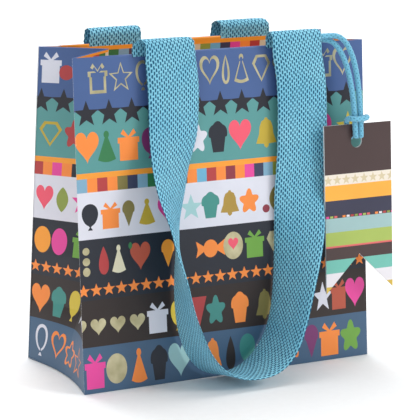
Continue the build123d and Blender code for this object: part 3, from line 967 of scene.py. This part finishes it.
# %% The route of a handle
LOOP_EDGES = [
    ((-39.0, 144.7, 5.2), (-15.9, 144.7, 5.2)), ((-38.4, 138, 5.2), (-14.2, 138, 5)),
    ((-37.8, 126, 4.8), (-13.4, 126, 4.6)), ((-38.4, 106, 5.6), (-14.3, 106, 3.4)),
    ((-39.8, 92, 11.6), (-18.3, 92, 1.6)), ((-39.6, 82, 16), (-20, 81.5, 1.4)),
    ((-37, 70.5, 21.6), (-23.6, 70, 1.4)), ((-35.4, 60, 23.2), (-24.6, 59, 1.4)),
    ((-31.6, 47, 24.8), (-26.2, 46, 1.4)), ((-29.4, 35, 25.6), (-26.4, 34, 1.4)),
    ((-25.4, 24, 25.8), (-25.4, 22.4, 1.4)), ((-21.8, 15.6, 25.8), (-22, 12.2, 1.4)),
    ((-15.8, 8, 25.6), (-16.4, 4.8, 1.4)), ((-7.8, 3.6, 25.6), (-8.2, 1.6, 1.4)),
    ((0.8, 2.8, 25.6), (-1.2, 2.6, 1.4)), ((8.4, 3.4, 25.4), (5.4, 5, 1.4)),
    ((15, 6.8, 25.2), (11.4, 10.2, 1.4)), ((20.4, 13.6, 25.2), (16.4, 17.6, 1.4)),
    ((24.4, 24, 25), (19.4, 27.4, 1.4)), ((28.4, 36, 24), (20.8, 38.4, 1.4)),
    ((34, 50, 21.4), (21.6, 51.2, 1.6)), ((40.8, 62.8, 14.8), (22.2, 63.6, 2.0)),
    ((45.6, 76.6, 5.4), (22.6, 77, 2.6)), ((48.4, 94, 4.8), (24, 94.6, 3.6)),
    ((49, 112, 4.6), (24.5, 112.4, 4.2)), ((48.8, 128, 4.8), (24.3, 128, 4.6)),
    ((46.2, 144.7, 5.2), (21.7, 144.7, 5.2)),
]
HIDDEN_EDGES = [(-42.2, -17.7), (46.2, 21.7)]
BEND_RADIUS = 2.95
BEND_UP = 144.85
BEND_OUT = 2.25
INSIDE_END = 139.0
ROW_STEP = 0.48
SOFTNESS = 4.0
BEND_STEPS = 24
WALL_CLEARANCE = 1.3


def resample(points, step):
    """Points (n, k, 3) sampled evenly, about one step apart along the mean of their k lines."""
    middle = points.mean(axis=1)
    distance = np.r_[0, np.cumsum(np.linalg.norm(np.diff(middle, axis=0), axis=1))]
    count = int(round(distance[-1] / step)) + 1
    even = np.linspace(0, distance[-1], count)
    flat = points.reshape(len(points), -1)
    sampled = np.stack([np.interp(even, distance, column) for column in flat.T], axis=1)
    return sampled.reshape(count, *points.shape[1:])


def smooth(points, step, width):
    """Each sample averaged with its neighbours under a bell curve of the given width, after the line has
    been carried on past both ends by turning it half round its end point."""
    reach = int(3 * width / step)
    offsets = np.arange(-reach, reach + 1)
    weights = np.exp(-0.5 * (offsets * step / width) ** 2)
    weights /= weights.sum()
    before = 2 * points[0] - points[reach:0:-1]
    after = 2 * points[-1] - points[-2:-reach - 2:-1]
    longer = np.concatenate([before, points, after])
    return sum(w * longer[i:i + len(points)] for i, w in enumerate(weights))


def bend_rows(edges, hidden, rising):
    """Rows over the rim: up out of the hem, round half a circle, ready to hang. Reversed for the leg that
    comes up. Each edge shifts from its hidden place in the hem to its hanging place while the tape turns
    over."""
    turn = np.linspace(math.pi, 0, BEND_STEPS)[:-1]
    up = np.r_[np.arange(INSIDE_END, BEND_UP, ROW_STEP), BEND_UP + BEND_RADIUS * np.sin(turn)]
    out = np.r_[np.full(len(up) - len(turn), BEND_OUT - BEND_RADIUS), BEND_OUT + BEND_RADIUS * np.cos(turn)]
    over = np.r_[np.zeros(len(up) - len(turn)), 0.5 + 0.5 * np.cos(turn)]
    rows_here = np.stack([np.column_stack([inside + (edge[0] - inside) * over, up, out])
                          for edge, inside in zip(edges, hidden)], axis=1)
    return rows_here[::-1] if rising else rows_here


def handle_rows():
    """Both edges of the whole tape, from inside one leg to inside the other, as (rows, 2, 3) wall
    distances."""
    stations = np.array(LOOP_EDGES, float)
    hanging = resample(stations, ROW_STEP)
    hanging = smooth(hanging, ROW_STEP, SOFTNESS)
    hanging[:, :, 2] = np.maximum(hanging[:, :, 2], WALL_CLEARANCE)
    return np.concatenate([bend_rows(LOOP_EDGES[0], HIDDEN_EDGES[0], False), hanging,
                           bend_rows(LOOP_EDGES[-1], HIDDEN_EDGES[1], True)])


tape_rows = resample(handle_rows(), ROW_STEP)
tape_length = (len(tape_rows) - 1) * ROW_STEP
print("each tape is", round(tape_length), "mm long between its glued ends")

# %% [markdown]
# The tape is a closed skin: across the front from edge to edge, round the edge, and back across the rear.
# Its thickness falls to nothing at the rounded edges. On top of that each face swells between the gaps of
# the knit, with the same product of cosines that the material uses, and the edges have the small beads of
# the selvedge.

# %% The handles
TAPE_THICK = 1.2
PRESSED = 0.7
FACE_COLUMNS = 50
RELIEF = 0.13
# Distances from the sewn end in millimetres, and the power that squares the cross section.
PRESSED_END = 14.0
SWELL_LENGTH = 8.0
SQUARENESS = 8
BEAD = 0.16
EDGE = 0.995
CURL_START = 7.0
CURL_FADE = 12.0
CURL = 0.7
ARCH_CURL = 1.6
BEND_ROWS = round((BEND_UP - INSIDE_END + math.pi * BEND_RADIUS) / ROW_STEP)
BEND_GRIP = 0.4
BEND_SLACK = 0.4


def tape_skin(rows_here):
    """Points (rows, columns, 3) in wall distances, and each point's place across and along the tape in
    mm."""
    left, right = rows_here[:, 0], rows_here[:, 1]
    middle = (left + right) / 2
    across = right - left
    width = np.linalg.norm(across, axis=1, keepdims=True)
    across /= width
    run = np.gradient(middle, axis=0)
    outward = -np.cross(across, run)
    outward /= np.linalg.norm(outward, axis=1, keepdims=True)
    share = np.linspace(-1, 1, FACE_COLUMNS + 1)
    both = np.r_[share, share[-2:0:-1]]
    face = np.r_[np.ones(FACE_COLUMNS + 1), -np.ones(FACE_COLUMNS - 1)]
    along = np.arange(len(rows_here)) * ROW_STEP
    rim = np.minimum(along, along[-1] - along)
    thick = PRESSED + (TAPE_THICK - PRESSED) * np.clip((rim - PRESSED_END) / SWELL_LENGTH, 0, 1)
    edge_fall = np.sqrt(np.clip(1 - both ** SQUARENESS, 0, 1))
    place_across = (both + 1) / 2 * TAPE_WIDTH
    course = along[:, None] + SKEW * place_across[None, :]
    gaps = np.cos(2 * math.pi * place_across / WALE)[None, :] * np.cos(2 * math.pi * course / COURSE)
    strength = np.clip((thick - PRESSED) / (TAPE_THICK - PRESSED), 0.3, 1)
    relief = -RELIEF * np.clip(gaps, -0.2, 1) * edge_fall[None, :] * strength[:, None]
    lift = face[None, :] * (thick[:, None] / 2 * edge_fall[None, :] + relief)
    bend_length = BEND_ROWS * ROW_STEP
    past = rim - bend_length
    extra = (ARCH_CURL - CURL) * np.exp(-((past - CURL_START) / CURL_FADE) ** 2)
    bent = np.clip(past / CURL_START, 0, 1) * (CURL + extra)
    curl = (both ** 4)[None, :] * bent[:, None]
    beads = BEAD * np.cos(2 * math.pi * along / COURSE)[:, None] * (np.abs(both) > EDGE)[None, :]
    reach = both[None, :] * width / 2 + np.sign(both)[None, :] * beads
    sideways = reach[..., None] * across[:, None]
    skin = middle[:, None] + sideways + (lift - curl)[..., None] * outward[:, None]
    u = place_across + np.where(face < 0, BACK_OFFSET / UV_TAPE, 0.0)
    return skin, np.stack(np.broadcast_arrays(u[None, :], along[:, None]), axis=-1)


def closed_grid(rows_count, columns):
    """Faces of a tube grid whose last column joins its first, with both ends left open."""
    row, column = np.meshgrid(np.arange(rows_count - 1), np.arange(columns), indexing="ij")
    beside = (column + 1) % columns
    return np.stack([row * columns + column, row * columns + beside, (row + 1) * columns + beside,
                     (row + 1) * columns + column], axis=-1).reshape(-1, 4)


def set_uv(mesh, name, values):
    """A UV map from one value per vertex."""
    vertex = np.zeros(len(mesh.loops), np.int32)
    mesh.loops.foreach_get("vertex_index", vertex)
    layer = mesh.uv_layers.new(name=name)
    layer.data.foreach_set("uv", values[vertex].ravel().astype(np.float32))


def grid_normals(points):
    """Unit normals of a tube grid: the slope along it crossed with the slope round it."""
    along = np.gradient(points, axis=0)
    around = np.roll(points, -1, axis=1) - np.roll(points, 1, axis=1)
    normals = np.cross(along, around)
    return normals / (np.linalg.norm(normals, axis=-1, keepdims=True) + 1e-12)


def tape_piece(name, grids):
    """One object from lengths of tape, each a closed grid with both ends capped: points, normals and tape
    places."""
    points, normals, places, faces = [], [], [], []
    for grid_points, grid_directions, grid_places in grids:
        first = sum(len(part) for part in points)
        rows_here, columns = grid_points.shape[:2]
        ends = [list(range(columns)), list(range(rows_here * columns - 1, (rows_here - 1) * columns - 1,
                                                 -1))]
        made = [*closed_grid(rows_here, columns)[:, ::-1].tolist(), *ends]
        faces += [[first + corner for corner in face] for face in made]
        points.append(grid_points.reshape(-1, 3))
        normals.append(grid_directions.reshape(-1, 3))
        places.append(grid_places.reshape(-1, 2))
    piece = mesh_from(name, np.concatenate(points), faces)
    mesh = piece.data
    mesh.polygons.foreach_set("use_smooth", np.ones(len(mesh.polygons), bool))
    mesh.normals_split_custom_set_from_vertices(np.concatenate(normals).tolist())
    set_uv(mesh, "tape", np.concatenate(places) * UV_TAPE)
    mesh.materials.append(knit)
    return piece


def make_handle(wall):
    """One knitted handle in two pieces that meet where the tape starts to hang: the bends, which turn over
    the rim, and the loop."""
    skin, uv = tape_skin(tape_rows)
    points = on_wall(wall, skin[..., 0], skin[..., 1], skin[..., 2])
    normals = grid_normals(points)
    last = len(skin) - 1
    lengths = {"bends": [slice(0, BEND_ROWS + 1), slice(last - BEND_ROWS, last + 1)],
               "loop": [slice(BEND_ROWS, last - BEND_ROWS + 1)]}
    pieces = {part: tape_piece(f"{wall}_handle_{part}_tape",
                               [(points[cut], normals[cut], uv[cut]) for cut in cuts])
              for part, cuts in lengths.items()}
    turning = np.array([BEND_OUT - BEND_RADIUS + BEND_GRIP, BEND_OUT + BEND_RADIUS - BEND_SLACK])
    hinge = on_wall(wall, 0.0, BEND_UP, turning)
    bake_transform(pieces["bends"])
    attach(pieces["loop"], wall + "_handle")
    for part, piece in pieces.items():
        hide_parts(f"{wall}_handle_{part}")
        print(piece.name, "has", len(piece.data.polygons), "faces")
    return pieces


handles = [make_handle(wall) for wall in ("front", "rear")]

# %% [markdown]
# The tag is punched card, printed in stripes, with a fishtail cut into its foot. It is made like the walls,
# from a flat blank, but thicker, and its white core shows along every cut edge.

# %% The tag
TAG_MIDDLE = 61.15
TAG_HALF = 17.15
TAG_TOP = 106.0
TAG_FOOT = 31.8
TAG_NOTCH = 16.6
TAG_FACE = 9.4
TAG_THICK = 0.78
TAG_BEND = 0.35
HOLE = (-0.75, 98.4)
HOLE_RADIUS = 2.85
TAG_GRID = 3.0
TAG_STARS = {"count": 8, "first": -15.5, "pitch": 4.6, "up": 82.0, "size": (4.3, 4.3)}
DASHES = {"count": 17, "first": -16.1, "pitch": 2.1, "up": 65.7, "size": (1.5, 0.9)}
TAG_BANDS = [(30.0, "tag_gold"), (34.8, "tag_white"), (40.7, "tag_teal"), (46.6, "tag_brown"),
             (52.0, "tag_coral"), (52.8, "lime"), (58.9, "tag_aqua"), (65.1, "tag_brown"),
             (66.3, "tag_navy"), (72.9, "tag_orange"), (79.6, "tag_cream"), (84.4, "tag_brown")]
TAG_DASHES = ["magenta", "lime", "tag_coral", "tag_navy", "orange", "tag_white", "brick", "olive_green"]


def tag_art():
    """The tag's stripes, a row of stone-coloured stars on the cream one, and a row of short dashes."""
    tops = [low for low, _ in TAG_BANDS[1:]] + [TAG_TOP + 1]
    art = [(ink, place_shape(box(), (0, (low + top) / 2), (2 * TAG_HALF + 2, top - low)))
           for (low, ink), top in zip(TAG_BANDS, tops)]
    for inks_here, shape, row in ((["stone"], star, TAG_STARS), (TAG_DASHES, box, DASHES)):
        for i in range(row["count"]):
            centre = (row["pitch"] * i + row["first"], row["up"])
            art.append((inks_here[i % len(inks_here)], place_shape(shape(), centre, row["size"])))
    return art


def tag_place(along, up):
    """The hanging card: parallel to the wall, with its foot bent a little towards it. Its drawing is
    centred on it."""
    low = np.clip((TAG_TOP - up) / (TAG_TOP - TAG_FOOT), 0, 1)
    return on_wall("front", TAG_MIDDLE + along, up, TAG_FACE - TAG_BEND * low ** 2)


def make_tag():
    """The card with its hole, fishtail and stripes."""
    blank = [(-TAG_HALF, TAG_FOOT), (0, TAG_FOOT + TAG_NOTCH), (TAG_HALF, TAG_FOOT), (TAG_HALF, TAG_TOP),
             (-TAG_HALF, TAG_TOP)]
    hole = place_shape(disc(), HOLE, (2 * HOLE_RADIUS, 2 * HOLE_RADIUS))
    cut = cut_sheet(blank, [hole], tag_art(), [], TAG_GRID)
    piece = folded_sheet("tag_card_print", *cut, tag_place, TAG_THICK, cut_edges=True)
    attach(piece, "tag")
    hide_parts("tag_card")
    print(piece.name, "has", len(piece.data.polygons), "faces")
    return piece


tag = make_tag()

# %% [markdown]
# The tag hangs on one doubled cord of the same yarn, braided round. Both strands come out of the hem at the
# right leg, swing out over the rim and drop side by side into the tag's hole; the closed end of the doubled
# cord is drawn round them as a hitch over the card's top edge. Each strand is a tube along a smooth spline,
# and its braid is raised where two families of slanting strands cross.

# %% The tag's cord
CORD = 2.4
BRAID = 2.1
UV_CORD = 0.02
BRAID_SEAMS = 4
SEAM_DEPTH = 0.075
RING_START = (0.35, -0.9, 0.25)
INNER_STRAND = [(36.5, 143.2, 1.0), (48.4, 143.4, 1.2), (52.6, 142.2, 4.8), (56.2, 135.4, 7.0),
                (58.0, 125.8, 9.2), (58.9, 112.0, 10.7), (59.1, 99.6, 11.0)]
OUTER_STRAND = [(36.5, 144.3, 3.2), (49.0, 144.9, 3.5), (55.2, 144.6, 7.2), (59.6, 136.9, 8.4),
                (61.4, 126.4, 9.6), (61.9, 112.4, 10.7), (61.8, 99.6, 11.0)]
HITCH = [(59.2, 99.0, 7.2), (57.6, 103.0, 6.9), (56.4, 107.4, 7.6), (55.9, 108.9, 10.6),
         (56.8, 108.5, 13.2), (60.4, 108.4, 13.6), (64.0, 108.7, 13.2), (64.9, 108.9, 10.6),
         (64.4, 107.4, 7.6), (63.2, 103.0, 6.9), (61.6, 99.0, 7.2)]


def braided_cord():
    """Round braid of the same sky-blue yarn: diamonds of strands, with painted shade darkening the sunken
    seams between them.
    """
    material, tree = new_material("braided_polyester_cord")
    place = add(tree, "TexCoord", {}).outputs["Object"]
    split = add(tree, "SeparateXYZ", {"Vector": add(tree, "UVMap", {}, uv_map="cord").outputs[0]})
    turn = add(tree, "Math", {0: split.outputs[0], 1: 4.0}, operation="MULTIPLY").outputs[0]
    along = maths(tree, "DIVIDE", split.outputs[1], UV_CORD)
    lattice = maths(tree, "MULTIPLY", knit_waves(tree, turn, 2.0), knit_waves(tree, along, BRAID))
    seam = add(tree, "MapRange", {"Value": lattice, "From Min": 0.25, "From Max": 0.9}).outputs[0]
    slant = add(tree, "Math", {0: turn, 1: 1.5, 2: along}, operation="MULTIPLY_ADD").outputs[0]
    strands = knit_waves(tree, slant, BRAID / 4)
    fuzz = add(tree, "TexNoise", {"Vector": place, "Scale": 5200.0, "Detail": 3.0, "Roughness": 0.8})
    strand = add(tree, "MapRange", {"Value": strands, "From Min": -1.0, "To Min": 0.0,
                                    "To Max": 0.4}).outputs[0]
    yarn = mix_colour(tree, strand, linear("#77c2de"), linear("#4f9fc2"))
    worn = add(tree, "MapRange", {"Value": fuzz.outputs[0], "From Min": 0.5, "From Max": 0.75,
                                  "To Max": 0.35}).outputs[0]
    fluffy = mix_colour(tree, worn, yarn, linear("#b5e0ee"))
    # painted shade: the sunken seams of the braid are darkened towards deep blue
    colour = mix_colour(tree, maths(tree, "MULTIPLY", seam, 0.8), fluffy, linear("#2a7798"))
    height = maths(tree, "SUBTRACT", maths(tree, "MULTIPLY", fuzz.outputs[0], 0.5), seam)
    bump = add(tree, "Bump", {"Height": height, "Distance": 0.0002, "Strength": 0.8})
    surface = add(tree, "BsdfPrincipled", {"Base Color": colour, "Roughness": 0.8, "IOR": 1.5,
                                           "Sheen Weight": 0.3,
                                           "Sheen Roughness": 0.45, "Normal": bump.outputs[0]})
    close_material(tree, surface)
    return material


def spline_points(route):
    """Points along the NURBS spline of order 3 whose control points are the route, as Blender works them
    out."""
    places = np.array(route, float)
    curve = bpy.data.curves.new("route", "CURVE")
    curve.dimensions = "3D"
    curve.resolution_u = 24
    spline = curve.splines.new("NURBS")
    spline.points.add(len(route) - 1)
    control = on_wall("front", places[:, 0], places[:, 1], places[:, 2])
    spline.points.foreach_set("co", np.column_stack([control, np.ones(len(control))]).ravel())
    spline.order_u = 3
    spline.use_endpoint_u = True
    line = bpy.data.objects.new("route", curve)
    mesh = bpy.data.meshes.new_from_object(line)
    points = np.zeros(len(mesh.vertices) * 3)
    mesh.vertices.foreach_get("co", points)
    bpy.data.objects.remove(line)
    bpy.data.meshes.remove(mesh)
    bpy.data.curves.remove(curve)
    return points.reshape(-1, 3)


def braided_tube(name, path, diameter, step=0.24, around=28):
    """A round tube along a path. Each ring stands square to the path; its radius falls a little where the
    product of a cosine round and a cosine along is high, which are the seams of the braid. The ends are
    closed by small domes."""
    even = resample(path[:, None] / MM, step)[:, 0]
    run = np.gradient(even, axis=0)
    run /= np.linalg.norm(run, axis=1, keepdims=True)
    side = np.cross(run, RING_START)
    side /= np.linalg.norm(side, axis=1, keepdims=True)
    other = np.cross(run, side)
    turn = np.arange(around) * 2 * math.pi / around
    along = np.arange(len(even)) * step
    seam = np.cos(BRAID_SEAMS * turn)[None, :] * np.cos(2 * math.pi * along / BRAID)[:, None]
    end = np.minimum(along, along[-1] - along)
    dome = np.sqrt(np.clip(1 - np.clip(1 - end / (diameter / 2), 0, 1) ** 2, 0.0004, 1))
    radius = (diameter / 2) * (1 - SEAM_DEPTH * np.clip(seam, -0.5, 1)) * dome[:, None]
    ringed = np.cos(turn)[None, :, None] * side[:, None] + np.sin(turn)[None, :, None] * other[:, None]
    points = (even[:, None] + radius[..., None] * ringed) * MM
    ends = [list(range(around)), list(range(len(even) * around - 1, (len(even) - 1) * around - 1, -1))]
    piece = mesh_from(name, points.reshape(-1, 3),
                      [*closed_grid(len(even), around)[:, ::-1].tolist(), *ends])
    piece.data.polygons.foreach_set("use_smooth", np.ones(len(piece.data.polygons), bool))
    uv = np.stack(np.broadcast_arrays(turn[None, :] / math.pi, along[:, None] * UV_CORD), axis=-1)
    set_uv(piece.data, "cord", uv.reshape(-1, 2))
    piece.data.materials.append(braid)
    return piece


def path_length(path):
    """The straight steps of a path added up."""
    return float(np.linalg.norm(np.diff(path, axis=0), axis=1).sum())


braid = braided_cord()
hitch = braided_tube("tag_string_hitch", spline_points(HITCH), CORD)
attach(hitch, "tag_string")
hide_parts("tag_string_knot")
for label, route, on_it in (("inner", INNER_STRAND, [hitch]), ("outer", OUTER_STRAND, [])):
    path = spline_points(route)
    strand = braided_tube("tag_string_" + label + "_strand", path, CORD)
    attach(strand, "tag_string")
    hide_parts("tag_string_" + label)
    print(strand.name, "is", round(path_length(path) / MM, 1), "mm long")

# %% [markdown]
# The base is the sheet's own flaps folded in and glued: first the two from the gussets, then the two from
# the walls below them. The gusset flaps are cut here, because their outer edge has to follow the foot of
# the bowed gussets. The other flaps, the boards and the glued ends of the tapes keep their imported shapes
# and only need the right material.

# %% The base and the hidden parts
FLAP_REACH = 30.0
FLAP_TAPER = 12.0
FLAP_INSET = 0.5
FLAP_GAP = 0.3


def make_side_flap(side):
    """The gusset's bottom flap: a trapezium lying flat, printed side down."""
    low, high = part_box(side + "_base_flap")
    sideways = -1.0 if side == "left" else 1.0
    level = low[2] / MM
    half = high[1] / MM - FLAP_GAP

    def place(along, inward):
        pull = (FOOT_PULL + FLAP_INSET) * np.cos(np.clip(along / half, -1, 1) * math.pi / 2)
        x = sideways * (WIDTH / 2 - FLAP_GAP - pull * np.clip(1 - inward / FLAP_REACH, 0, 1) - inward)
        return np.stack(np.broadcast_arrays(x, -sideways * along, level), axis=-1) * MM

    blank = [(-half, 0), (half, 0), (half - FLAP_TAPER, FLAP_REACH), (-half + FLAP_TAPER, FLAP_REACH)]
    ground = [("steel_blue", place_shape(box(), (0, FLAP_REACH / 2), (DEPTH + 20, FLAP_REACH + 10)))]
    piece = folded_sheet(side + "_base_flap_print", *cut_sheet(blank, [], ground, [], WALL_GRID), place,
                         PAPER)
    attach(piece, "base")
    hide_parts(side + "_base_flap")
    return piece


def single_ink_paper(name, ink):
    """The same varnished paper in one ink, for parts whose faces carry no ink of their own."""
    material = art_paper.copy()
    material.name = name
    tree = material.node_tree
    for link in [link for link in tree.links if link.from_node.type == "ATTRIBUTE"]:
        if link.from_node.attribute_name == "ink":
            link.to_socket.default_value = linear(INKS[ink])
        tree.links.remove(link)
    return material


side_flaps = [make_side_flap(side) for side in ("left", "right")]
flap_paper = single_ink_paper("satin_varnished_steel_blue_paper", "steel_blue")
NODE_FINISHES = {"front_base_flap": flap_paper, "rear_base_flap": flap_paper, "base_board": grey_board,
                 "front_hem_board": grey_board, "rear_hem_board": grey_board,
                 "front_handle_ends": glued_knit,
                 "rear_handle_ends": glued_knit, "side_seam_flap": white_board}
for node_name, finish in NODE_FINISHES.items():
    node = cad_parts[node_name]
    node.data.materials.clear()
    node.data.materials.append(finish)
print(len(NODE_FINISHES), "packed parts refinished")

# %% [markdown]
# A product is shown on a pale, seamless floor under large soft lights. Each light is a big square lamp, so
# shadows have no hard edge, and a pale grey world fills them.

# %% Floor and light
FLOOR_SIZE = 6.0
WORLD_STRENGTH = 0.52
LAMPS = [("key", (1.3, -1.3, 1.15), 0.7, 17.0), ("fill", (-1.5, -1.2, 0.9), 1.4, 4.6),
         ("top", (0.1, 0.5, 1.9), 1.5, 26.0), ("far_floor", (0.0, 2.2, 1.9), 2.0, 36.0)]


def floor_paint():
    """Matt white studio paint with a barely visible roller texture."""
    material, tree = new_material("matt_studio_paint")
    place = add(tree, "TexCoord", {}).outputs["Object"]
    roller = add(tree, "TexNoise", {"Vector": place, "Scale": 300.0, "Detail": 2.0})
    tone = mix_colour(tree, roller.outputs[0], linear("#f4f4f4"), linear("#fafafa"))
    surface = add(tree, "BsdfPrincipled", {"Base Color": tone, "Roughness": 0.9})
    close_material(tree, surface)
    return material


half_floor = FLOOR_SIZE / 2
corners = np.array([(-half_floor, -half_floor, 0), (half_floor, -half_floor, 0),
                    (half_floor, half_floor, 0),
                    (-half_floor, half_floor, 0)])
floor = mesh_from("floor", corners, [[0, 1, 2, 3]])
floor.data.materials.append(floor_paint())

for label, spot, size, power in LAMPS:
    lamp = bpy.data.lights.new(label, "AREA")
    lamp.size = size
    lamp.energy = power
    holder = bpy.data.objects.new(label, lamp)
    bpy.context.collection.objects.link(holder)
    holder.location = spot
    holder.rotation_euler = (Vector(spot) - TARGET).to_track_quat("Z", "Y").to_euler()

world = bpy.data.worlds.new("studio")
world.use_nodes = True
background = world.node_tree.nodes["Background"]
background.inputs[0].default_value = linear("#f3f5f7")
background.inputs[1].default_value = WORLD_STRENGTH
bpy.context.scene.world = world
bpy.context.scene.view_settings.view_transform = "Standard"
print(len(LAMPS), "lamps")
